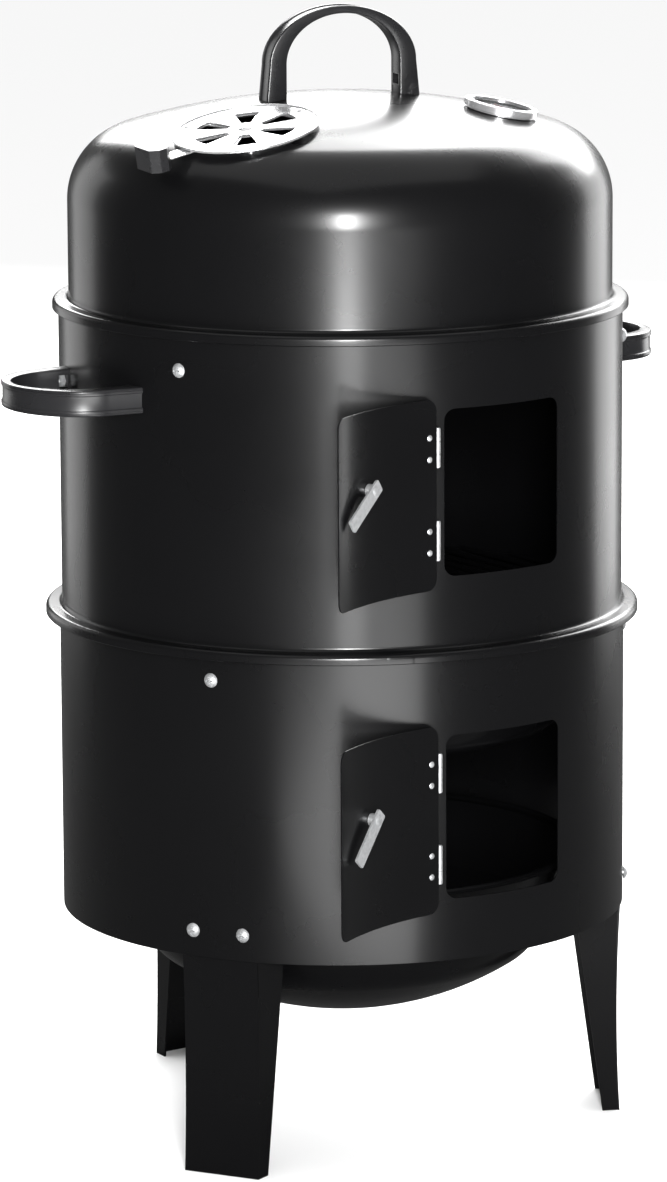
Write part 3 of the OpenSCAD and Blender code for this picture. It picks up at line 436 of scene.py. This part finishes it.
def grip_mesh(name, height, dip, shape):
    """Arched handle standing on the plane z = 0 in the XZ plane; dip(x, y) is how far the seat lies below."""
    half = shape.grip_width / 2
    leg_h = 0.36 * height
    b = shape.grip_breadth / 2
    outer_a, outer_b = half - 2.5 * MM, height - leg_h
    inner_a, inner_b = half - shape.grip_leg + 1 * MM, outer_b - shape.grip_crown
    # stations run from one foot over the arch to the other: (angle, share of the leg's height, side)
    stations = [(180, i / 10, -1) for i in range(10)]
    stations += [(180 - 180 * i / 96, 1, 0) for i in range(97)]
    stations += [(0, 1 - i / 10, 1) for i in range(1, 11)]
    # places across the breadth and depths below the outer face, in millimetres
    groove = [(0, 1.0), (4.0, 1.0), (4.9, 0.8), (5.5, 0.1), (6.2, 0), (6.8, 0), (7.0, 0.35), (7.3, 0.35),
              (7.5, 0)]
    rounded = [(b / MM - 0.9, 0.12), (b / MM - 0.27, 0.5), (b / MM, 1.2)]
    half_outer = groove + rounded
    outer_side = [(-x, d) for x, d in reversed(half_outer[1:])] + half_outer
    verts, faces = [], []
    for angle, up, side in stations:
        a = math.radians(angle)
        outer = Vector((outer_a * math.cos(a), 0, leg_h + outer_b * math.sin(a)))
        inner = Vector((inner_a * math.cos(a), 0, leg_h + inner_b * math.sin(a)))
        if side:
            outer = Vector((side * (outer_a + (half - outer_a) * (1 - up)), 0, leg_h * up))
            inner = Vector((side * inner_a, 0, leg_h * up))
        inward = (inner - outer).normalized()
        thick = (inner - outer).length
        ring = [(x * MM, d * MM) for x, d in outer_side]
        ring += [(b, thick - 1.2 * MM), (b - 0.35 * MM, thick - 0.35 * MM), (b - 1.2 * MM, thick)]
        ring += [(-b + 1.2 * MM, thick), (-b + 0.35 * MM, thick - 0.35 * MM), (-b, thick - 1.2 * MM)]
        for y, depth in ring:
            p = outer + inward * depth
            verts.append((p.x, y, p.z - dip(p.x, y) * (1 - up)))
    count = len(outer_side) + 6
    rows = len(stations)
    for i in range(rows - 1):
        for j in range(count):
            k = (j + 1) % count
            faces.append([i * count + j, i * count + k, (i + 1) * count + k, (i + 1) * count + j])
    faces.append(list(reversed(range(count))))
    faces.append([(rows - 1) * count + j for j in range(count)])
    mesh = mesh_of(name, verts, faces)
    bm = bmesh.new()
    bm.from_mesh(mesh)
    bmesh.ops.recalc_face_normals(bm, faces=bm.faces)
    bm.to_mesh(mesh)
    bm.free()
    return mesh


class SMOKER_OT_handles(bpy.types.Operator):
    """Moulds the lid handle and the two side handles, with a pocket for each nut"""

    bl_idname = "smoker.handles"
    bl_label = "Handles"

    def execute(self, context):
        shape = context.scene.smoker_shape
        drum_r = RIM_R - shape.rim_out
        half = shape.grip_width / 2
        gap = 0.1 * MM
        lid_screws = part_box("lid_handle_nuts")
        centre = (lid_screws[0] + lid_screws[1]) / 2
        span = lid_screws[1] - lid_screws[0]
        turn = -math.atan2(span.y - 8 * MM, span.x - 9 * MM)
        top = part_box("lid_handle")[1].z
        lid_place = Matrix.Translation((centre.x, centre.y, LID_TOP)) @ Matrix.Rotation(turn, 4, "Z")
        sides = []
        for node, sign in (("left_handle", -1), ("right_handle", 1)):
            low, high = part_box(node)
            mid = (low + high) / 2
            reach = (high.x if sign > 0 else -low.x) - drum_r
            az = math.atan2(sign * drum_r, -mid.y)
            sides.append((node, mid.z, az, reach))

        def crown_dip(x, y):
            return CROWN_R - math.sqrt(CROWN_R ** 2 - x * x - y * y) - gap

        wall_dip = drum_r - math.sqrt(drum_r ** 2 - half ** 2)

        def drum_dip(x, _y):
            return drum_r - math.sqrt(drum_r ** 2 - x * x) - wall_dip - gap

        jobs = [("lid_grip", "lid_handle", "lid", lid_place, top - LID_TOP, crown_dip)]
        for node, z, az, reach in sides:
            place = (Matrix.Rotation(az, 4, "Z") @ Matrix.Translation((0, -drum_r + wall_dip, z))
                     @ Matrix.Rotation(math.pi / 2, 4, "X"))
            jobs.append((node.replace("handle", "grip"), node, "upper_section", place,
                         reach + wall_dip, drum_dip))
        for name, node, body, place, height, dip in jobs:
            mesh = grip_mesh(name, height, dip, shape)
            inner = half - shape.grip_leg
            pockets = []
            for s in (-1, 1):
                ends = sorted((s * (inner - 3 * MM), s * (half - 3 * MM)))
                low, high = (ends[0], -5.1 * MM, 5 * MM), (ends[1], 5.1 * MM, 12 * MM)
                pockets.append(box_mesh(Matrix.Identity(4), low, high))
            mesh = cut(mesh, pockets)
            mesh.transform(place)
            for poly in mesh.polygons:
                poly.use_smooth = True
            mesh.set_sharp_from_angle(angle=math.radians(35))
            obj = add_piece(name, mesh, body, "bakelite", node)
            obj.data.materials.clear()
            obj.data.materials.append(bpy.data.materials["bakelite"])
        return {"FINISHED"}


class SMOKER_OT_dial(bpy.types.Operator):
    """Prints the thermometer's scale: ticks, numbers and a band of blocks"""

    bl_idname = "smoker.dial"
    bl_label = "Dial"

    def execute(self, context):
        gauge = joint("thermometer_needle_turn")
        place = local_frame(gauge["pos_m"], gauge["axis"])
        z = 2.02 * MM
        low, sweep, steps = 225, 270, 30
        blocks, numbers = 60, 7
        number_r, number_size = 13.6 * MM, 4.4 * MM
        verts, faces = [], []

        def bar(angle, r0, r1, w):
            a = math.radians(angle)
            along, across = Vector((math.cos(a), math.sin(a), 0)), Vector((-math.sin(a), math.cos(a), 0))
            n = len(verts)
            for r, s in ((r0, -1), (r1, -1), (r1, 1), (r0, 1)):
                verts.append(place @ (along * r + across * s * w / 2 + Vector((0, 0, z))))
            faces.append([n, n + 1, n + 2, n + 3])

        for i in range(steps + 1):
            major = i % 5 == 0
            tick_start = (17.6 if major else 19.2) * MM
            tick_width = (0.7 if major else 0.35) * MM
            bar(low - sweep * i / steps, tick_start, 21 * MM, tick_width)
        for i in range(blocks):
            bar(low - sweep * (i + 0.5) / blocks, 21.4 * MM, 22.2 * MM, 1.8 * MM)
        mesh = mesh_of("dial_ticks", verts, faces)
        obj = add_piece("dial_ticks", mesh, "lid", "dial")
        obj.data.materials.append(bpy.data.materials["dial_ink"])
        for i in range(numbers):
            a = math.radians(low - sweep * i / (numbers - 1))
            curve = bpy.data.curves.new(f"dial_number_{i}", "FONT")
            curve.body = str(i * 50)
            curve.size = number_size
            curve.align_x = "CENTER"
            curve.align_y = "CENTER"
            text = bpy.data.objects.new(curve.name, curve)
            bpy.context.scene.collection.objects.link(text)
            graph = bpy.context.evaluated_depsgraph_get()
            number = bpy.data.meshes.new_from_object(text.evaluated_get(graph))
            bpy.data.objects.remove(text)
            spot = Vector((math.cos(a) * number_r, math.sin(a) * number_r, z))
            number.transform(place @ Matrix.Translation(spot))
            piece = add_piece(f"dial_number_{i}", number, "lid", "dial")
            piece.data.materials.clear()
            piece.data.materials.append(bpy.data.materials["dial_ink"])
        return {"FINISHED"}


# ---------- materials ----------

def new_material(name):
    mat = bpy.data.materials.get(name) or bpy.data.materials.new(name)
    mat.use_nodes = True
    nodes = mat.node_tree.nodes
    nodes.clear()
    out = nodes.new("ShaderNodeOutputMaterial")
    bsdf = nodes.new("ShaderNodeBsdfPrincipled")
    mat.node_tree.links.new(bsdf.outputs["BSDF"], out.inputs["Surface"])
    return mat, bsdf


def grain_group():
    """Fine surface grain: a height for bump, and a mottled mask, at a given size."""
    group = bpy.data.node_groups.new("Surface grain", "ShaderNodeTree")
    for name, value in (("Scale", 900.0), ("Mottle scale", 30.0)):
        socket = group.interface.new_socket(name=name, in_out="INPUT", socket_type="NodeSocketFloat")
        socket.default_value = value
    group.interface.new_socket(name="Height", in_out="OUTPUT", socket_type="NodeSocketFloat")
    group.interface.new_socket(name="Mottle", in_out="OUTPUT", socket_type="NodeSocketFloat")
    nodes, links = group.nodes, group.links
    enter, leave = nodes.new("NodeGroupInput"), nodes.new("NodeGroupOutput")
    coord = nodes.new("ShaderNodeTexCoord")
    for socket, out, detail in (("Scale", "Height", 3.0), ("Mottle scale", "Mottle", 6.0)):
        noise = nodes.new("ShaderNodeTexNoise")
        noise.inputs["Detail"].default_value = detail
        links.new(coord.outputs["Object"], noise.inputs["Vector"])
        links.new(enter.outputs[socket], noise.inputs["Scale"])
        links.new(noise.outputs["Fac"], leave.inputs[out])
    return group


def finish(name, group, colour, dark, rough, scale, mottle, bump, distance, **plain):
    """A material whose colour and roughness vary with the grain; plain holds constant sockets."""
    mat, bsdf = new_material(name)
    tree = mat.node_tree
    grain = tree.nodes.new("ShaderNodeGroup")
    grain.node_tree = group
    grain.inputs["Scale"].default_value = scale
    grain.inputs["Mottle scale"].default_value = mottle
    shade = tree.nodes.new("ShaderNodeMix")
    shade.data_type = "RGBA"
    shade.inputs["A"].default_value = (*[c * dark for c in colour], 1)
    shade.inputs["B"].default_value = (*colour, 1)
    tree.links.new(grain.outputs["Mottle"], shade.inputs["Factor"])
    tree.links.new(shade.outputs["Result"], bsdf.inputs["Base Color"])
    spread = tree.nodes.new("ShaderNodeMapRange")
    spread.inputs["From Min"].default_value = 0.3
    spread.inputs["From Max"].default_value = 0.7
    spread.inputs["To Min"].default_value = rough[0]
    spread.inputs["To Max"].default_value = rough[1]
    tree.links.new(grain.outputs["Mottle"], spread.inputs["Value"])
    tree.links.new(spread.outputs["Result"], bsdf.inputs["Roughness"])
    relief = tree.nodes.new("ShaderNodeBump")
    relief.inputs["Strength"].default_value = bump
    relief.inputs["Distance"].default_value = distance
    tree.links.new(grain.outputs["Height"], relief.inputs["Height"])
    tree.links.new(relief.outputs["Normal"], bsdf.inputs["Normal"])
    for socket, value in plain.items():
        bsdf.inputs[socket.replace("_", " ")].default_value = value
    return mat


class SMOKER_OT_materials(bpy.types.Operator):
    """Makes the finishes and gives every carried-over part its own"""

    bl_idname = "smoker.materials"
    bl_label = "Materials"

    def execute(self, context):
        look = context.scene.smoker_finish
        group = grain_group()
        gloss = look.enamel_gloss
        finish("enamel", group, tuple(look.enamel), 0.7, (gloss * 0.93, gloss * 1.1), 420, 9, 0.02,
               0.0001, Coat_Weight=0.15, Coat_Roughness=0.16, Specular_IOR_Level=0.3)
        finish("zinc", group, tuple(look.zinc), 0.5, (0.3, 0.5), 700, 420, 0.1, 0.0003, Metallic=0.7)
        finish("chrome", group, tuple(look.chrome), 0.85, (0.16, 0.28), 900, 60, 0.03, 0.0002, Metallic=0.8)
        finish("bakelite", group, tuple(look.bakelite), 0.7, (0.24, 0.34), 1400, 40, 0.05, 0.0002)
        finish("dial_face", group, (0.66, 0.67, 0.68), 0.92, (0.4, 0.5), 900, 60, 0.02, 0.0002, Metallic=0.5)
        finish("dial_ink", group, (0.01, 0.01, 0.01), 0.7, (0.5, 0.6), 900, 60, 0.02, 0.0002)
        finish("needle_red", group, (0.5, 0.02, 0.015), 0.85, (0.35, 0.45), 900, 60, 0.02, 0.0002)
        glass, bsdf = new_material("gauge_glass")
        bsdf.inputs["Base Color"].default_value = (0.97, 0.98, 0.98, 1)
        bsdf.inputs["Roughness"].default_value = 0.02
        bsdf.inputs["IOR"].default_value = 1.45
        bsdf.inputs["Transmission Weight"].default_value = 1.0
        by_slot = {"enamel": "enamel", "zinc": "zinc", "chrome": "chrome", "bakelite": "bakelite",
                   "dial": "dial_face", "needle": "needle_red", "glass": "gauge_glass"}
        for part in frame["record"]["subparts"]:
            obj = NODES[part["node"]]
            mat = bpy.data.materials[by_slot[part["material_slot"]]]
            if not obj.material_slots:
                obj.data.materials.append(mat)
            for slot in obj.material_slots:
                slot.material = mat
        return {"FINISHED"}


# ---------- stage ----------

def area_light(name, place, target, size, power):
    data = bpy.data.lights.new(name, "AREA")
    data.shape = "RECTANGLE"
    data.size, data.size_y = size
    data.energy = power
    light = bpy.data.objects.new(name, data)
    light.location = place
    light.rotation_euler = (Vector(target) - Vector(place)).to_track_quat("-Z", "Y").to_euler()
    light.visible_camera = False
    bpy.context.scene.collection.objects.link(light)
    return light


def for_gloss(tree, plain, glossy):
    """A value that is one number for glossy reflections and another for all other rays."""
    path = tree.nodes.new("ShaderNodeLightPath")
    pick = tree.nodes.new("ShaderNodeMapRange")
    pick.inputs["To Min"].default_value = plain
    pick.inputs["To Max"].default_value = glossy
    tree.links.new(path.outputs["Is Glossy Ray"], pick.inputs["Value"])
    return pick.outputs["Result"]


def floor_material():
    """Pale matt floor that the glossy enamel sees as a dim one."""
    mat, bsdf = new_material("floor")
    tree = mat.node_tree
    shade = tree.nodes.new("ShaderNodeCombineColor")
    value = for_gloss(tree, 0.92, 0.05)
    for channel in ("Red", "Green", "Blue"):
        tree.links.new(value, shade.inputs[channel])
    tree.links.new(shade.outputs["Color"], bsdf.inputs["Base Color"])
    bsdf.inputs["Roughness"].default_value = 0.8
    bsdf.inputs["Specular IOR Level"].default_value = 0.0
    return mat


def studio_world():
    """White surroundings for the camera, dim ones for reflections."""
    world = bpy.data.worlds.new("studio")
    world.use_nodes = True
    tree = world.node_tree
    back = tree.nodes["Background"]
    back.inputs["Color"].default_value = (1, 1, 1, 1)
    tree.links.new(for_gloss(tree, 1.0, 0.075), back.inputs["Strength"])
    return world


class SMOKER_OT_stage(bpy.types.Operator):
    """Lays the pale floor, hangs the soft lights and sets the camera"""

    bl_idname = "smoker.stage"
    bl_label = "Stage"

    def execute(self, context):
        stage = context.scene.smoker_stage
        bm = bmesh.new()
        bmesh.ops.create_grid(bm, x_segments=2, y_segments=2, size=20)
        mesh = bpy.data.meshes.new("floor")
        bm.to_mesh(mesh)
        bm.free()
        floor = bpy.data.objects.new("floor", mesh)
        context.scene.collection.objects.link(floor)
        floor.data.materials.append(floor_material())
        context.scene.world = studio_world()
        context.scene.view_settings.view_transform = "Standard"

        a = stage.azimuth
        toward = Vector((math.sin(a), -math.cos(a), 0))
        right = Vector((math.cos(a), math.sin(a), 0))
        up = Vector((0, 0, 1))
        # each light: name, place, target, (width, height) and power
        glow = Matrix.Rotation(math.radians(18), 3, "Z") @ toward
        area_light("front_glow", glow * 2.1 + up * 0.02, glow * 2.1 + up, (0.95, 2.8), 60)
        area_light("front_strip", toward * 3.4 + right * 0.16 + up * 1.1, up * 0.65, (0.42, 1.2), 185)
        area_light("lid_strip", toward * 3.3 + right * 0.1 + up * 0.02, toward * 3.3 + up, (0.42, 0.8), 45)
        area_light("horizon", up * 2.3 - toward * 3.0 + right * 0.7, up * 0.75, (4.2, 2.0), 260)
        for side, power in ((-1, 6), (1, 15)):
            spot = right * side * 1.5 - toward * 1.5 + up * 0.7
            area_light("edge_box", spot, up * 0.4, (1.0, 1.5), power)
        area_light("top_box", up * 3.0, Vector((0, 0, 0)), (3.0, 3.0), 20)

        data = bpy.data.cameras.new("camera")
        data.lens = stage.lens
        data.sensor_width = 36
        camera = bpy.data.objects.new("camera", data)
        camera.location = toward * stage.distance + Vector((0, 0, stage.height))
        yaw = a + 0.0014
        turn = Matrix.Rotation(yaw, 3, "Z") @ Matrix.Rotation(math.pi / 2 - stage.pitch, 3, "X")
        camera.rotation_euler = (turn @ Matrix.Rotation(stage.roll, 3, "Z")).to_euler()
        context.scene.collection.objects.link(camera)
        context.scene.camera = camera
        return {"FINISHED"}


class SMOKER_PT_panel(bpy.types.Panel):
    """Lists the steps that build the smoker's looks"""

    bl_label = "Water Smoker"
    bl_idname = "SMOKER_PT_panel"
    bl_space_type = "VIEW_3D"
    bl_region_type = "UI"
    bl_category = "Smoker"

    def draw(self, context):
        for group in ("smoker_shape", "smoker_finish", "smoker_stage"):
            settings = getattr(context.scene, group)
            for name in settings.__annotations__:
                self.layout.prop(settings, name)
        for step in STEPS:
            self.layout.operator(step.bl_idname)


STEPS = (SMOKER_OT_materials, SMOKER_OT_drums, SMOKER_OT_lid, SMOKER_OT_handles, SMOKER_OT_dial,
         SMOKER_OT_stage)
CLASSES = (SmokerShape, SmokerFinish, SmokerStage, *STEPS, SMOKER_PT_panel)


def register():
    for cls in CLASSES:
        bpy.utils.register_class(cls)
    bpy.types.Scene.smoker_shape = bpy.props.PointerProperty(type=SmokerShape)
    bpy.types.Scene.smoker_finish = bpy.props.PointerProperty(type=SmokerFinish)
    bpy.types.Scene.smoker_stage = bpy.props.PointerProperty(type=SmokerStage)


def unregister():
    del bpy.types.Scene.smoker_shape
    del bpy.types.Scene.smoker_finish
    del bpy.types.Scene.smoker_stage
    for cls in reversed(CLASSES):
        bpy.utils.unregister_class(cls)


def main():
    register()
    bpy.ops.smoker.materials()
    bpy.ops.smoker.drums()
    bpy.ops.smoker.lid()
    bpy.ops.smoker.handles()
    bpy.ops.smoker.dial()
    bpy.ops.smoker.stage()


if __name__ == "__main__":
    main()
